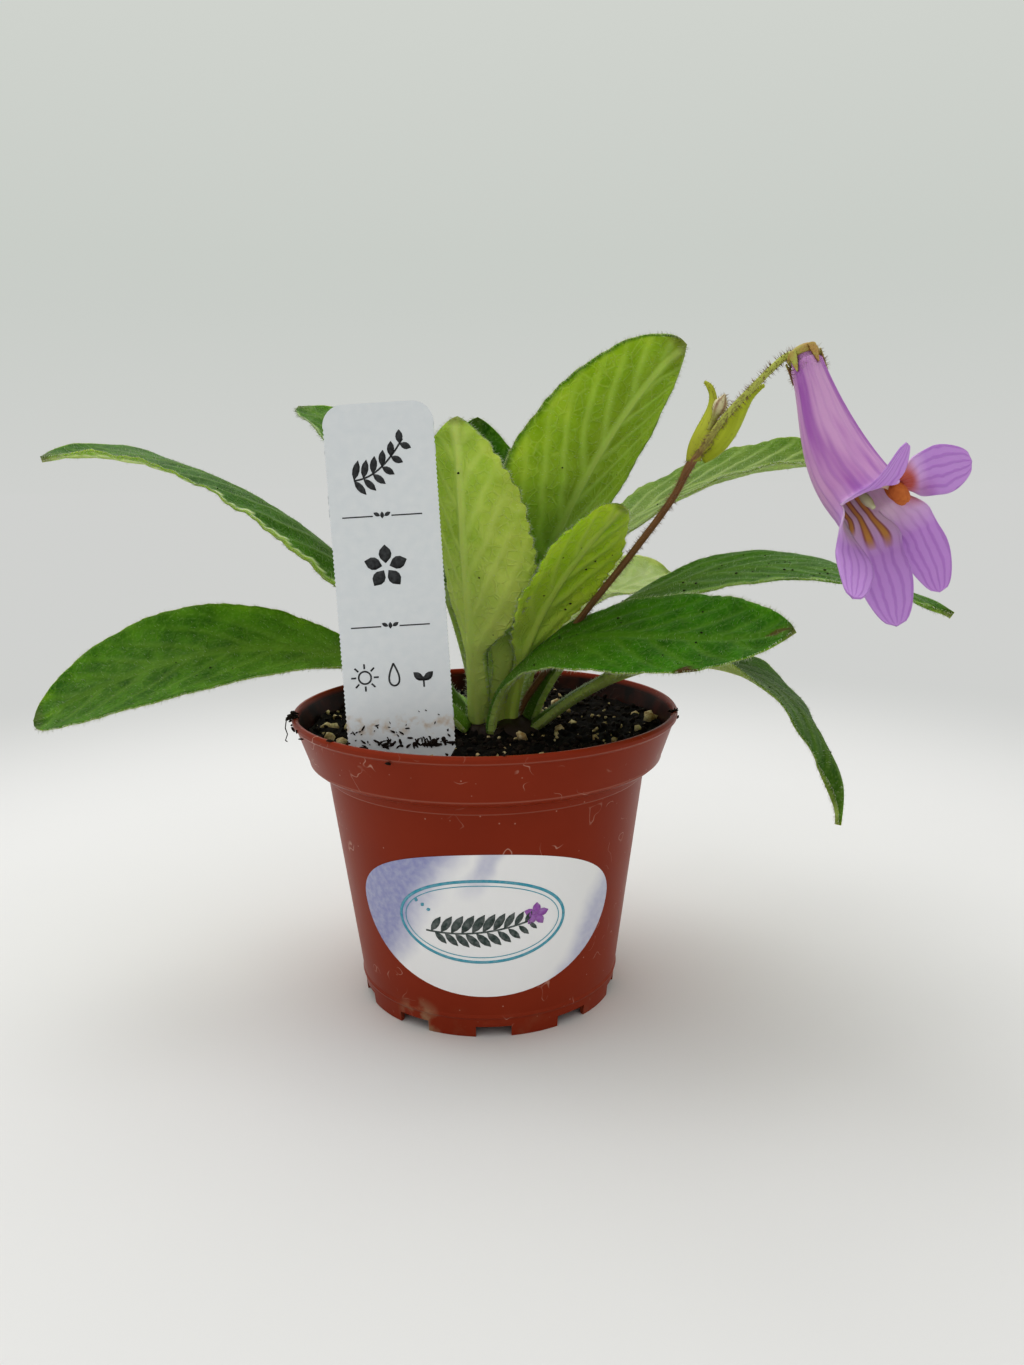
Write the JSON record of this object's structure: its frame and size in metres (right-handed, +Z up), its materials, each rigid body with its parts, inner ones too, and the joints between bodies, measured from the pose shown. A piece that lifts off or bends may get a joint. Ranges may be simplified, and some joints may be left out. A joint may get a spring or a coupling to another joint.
{
  "type": "potted primulina plant",
  "caption": "Flowering rosette plant with long hairy leaves and one drooping lilac flower, in a round plastic nursery pot with a stake label.",
  "frame": {"origin": "middle of the flat disc on the pot's underside, on the surface that the pot stands on", "axes": "+Z up along the pot's axis, -Y to the front with the sticker and the plant label, +X to the side where the flower hangs; the leaves reach furthest along X"},
  "size_m": [0.2256, 0.1697, 0.1698],
  "materials": {
    "pot_plastic": "satin moulded polypropylene, terracotta colour",
    "sticker_film": "glossy holographic label film, white and lilac",
    "potting_mix": "loose damp potting mix with tan perlite grains",
    "label_plastic": "smooth white label stock",
    "crown_tissue": "short fleshy stem, green turning brown at the soil",
    "leaf_green": "hairy fleshy leaf, vivid green above",
    "leaf_pale": "hairy fleshy leaf, seen from its pale underside",
    "stalk_tissue": "brown hairy stalk turning yellow-green at its top",
    "bract_green": "yellow-green hairy bract, bud and calyx",
    "petal_lilac": "soft matt lilac petal with darker veins",
    "stamen_orange": "orange-brown anthers and pale filaments",
    "pistil_green": "pale green style and stigma"
  },
  "bodies": {
    "root": {"pot": "pot_plastic", "pot_sticker": "sticker_film", "soil": "potting_mix", "plant_label": "label_plastic", "crown": "crown_tissue", "leaf_left_low": "leaf_green", "leaf_left_high": "leaf_green", "leaf_left_back": "leaf_green", "leaf_front_left": "leaf_pale", "leaf_front_right": "leaf_pale", "leaf_back_upright": "leaf_green", "leaf_young_right": "leaf_pale", "leaf_right_back": "leaf_green", "leaf_back_pale": "leaf_pale", "leaf_right_arch": "leaf_green", "leaf_right_front": "leaf_green", "leaf_right_droop": "leaf_green", "leaf_back_low": "leaf_green", "flower_stalk": "stalk_tissue", "bract_left": "bract_green", "bract_right": "bract_green", "flower_bud": "bract_green", "calyx": "bract_green", "corolla": "petal_lilac", "stamens": "stamen_orange", "pistil": "pistil_green"}
  },
  "joints": []
}
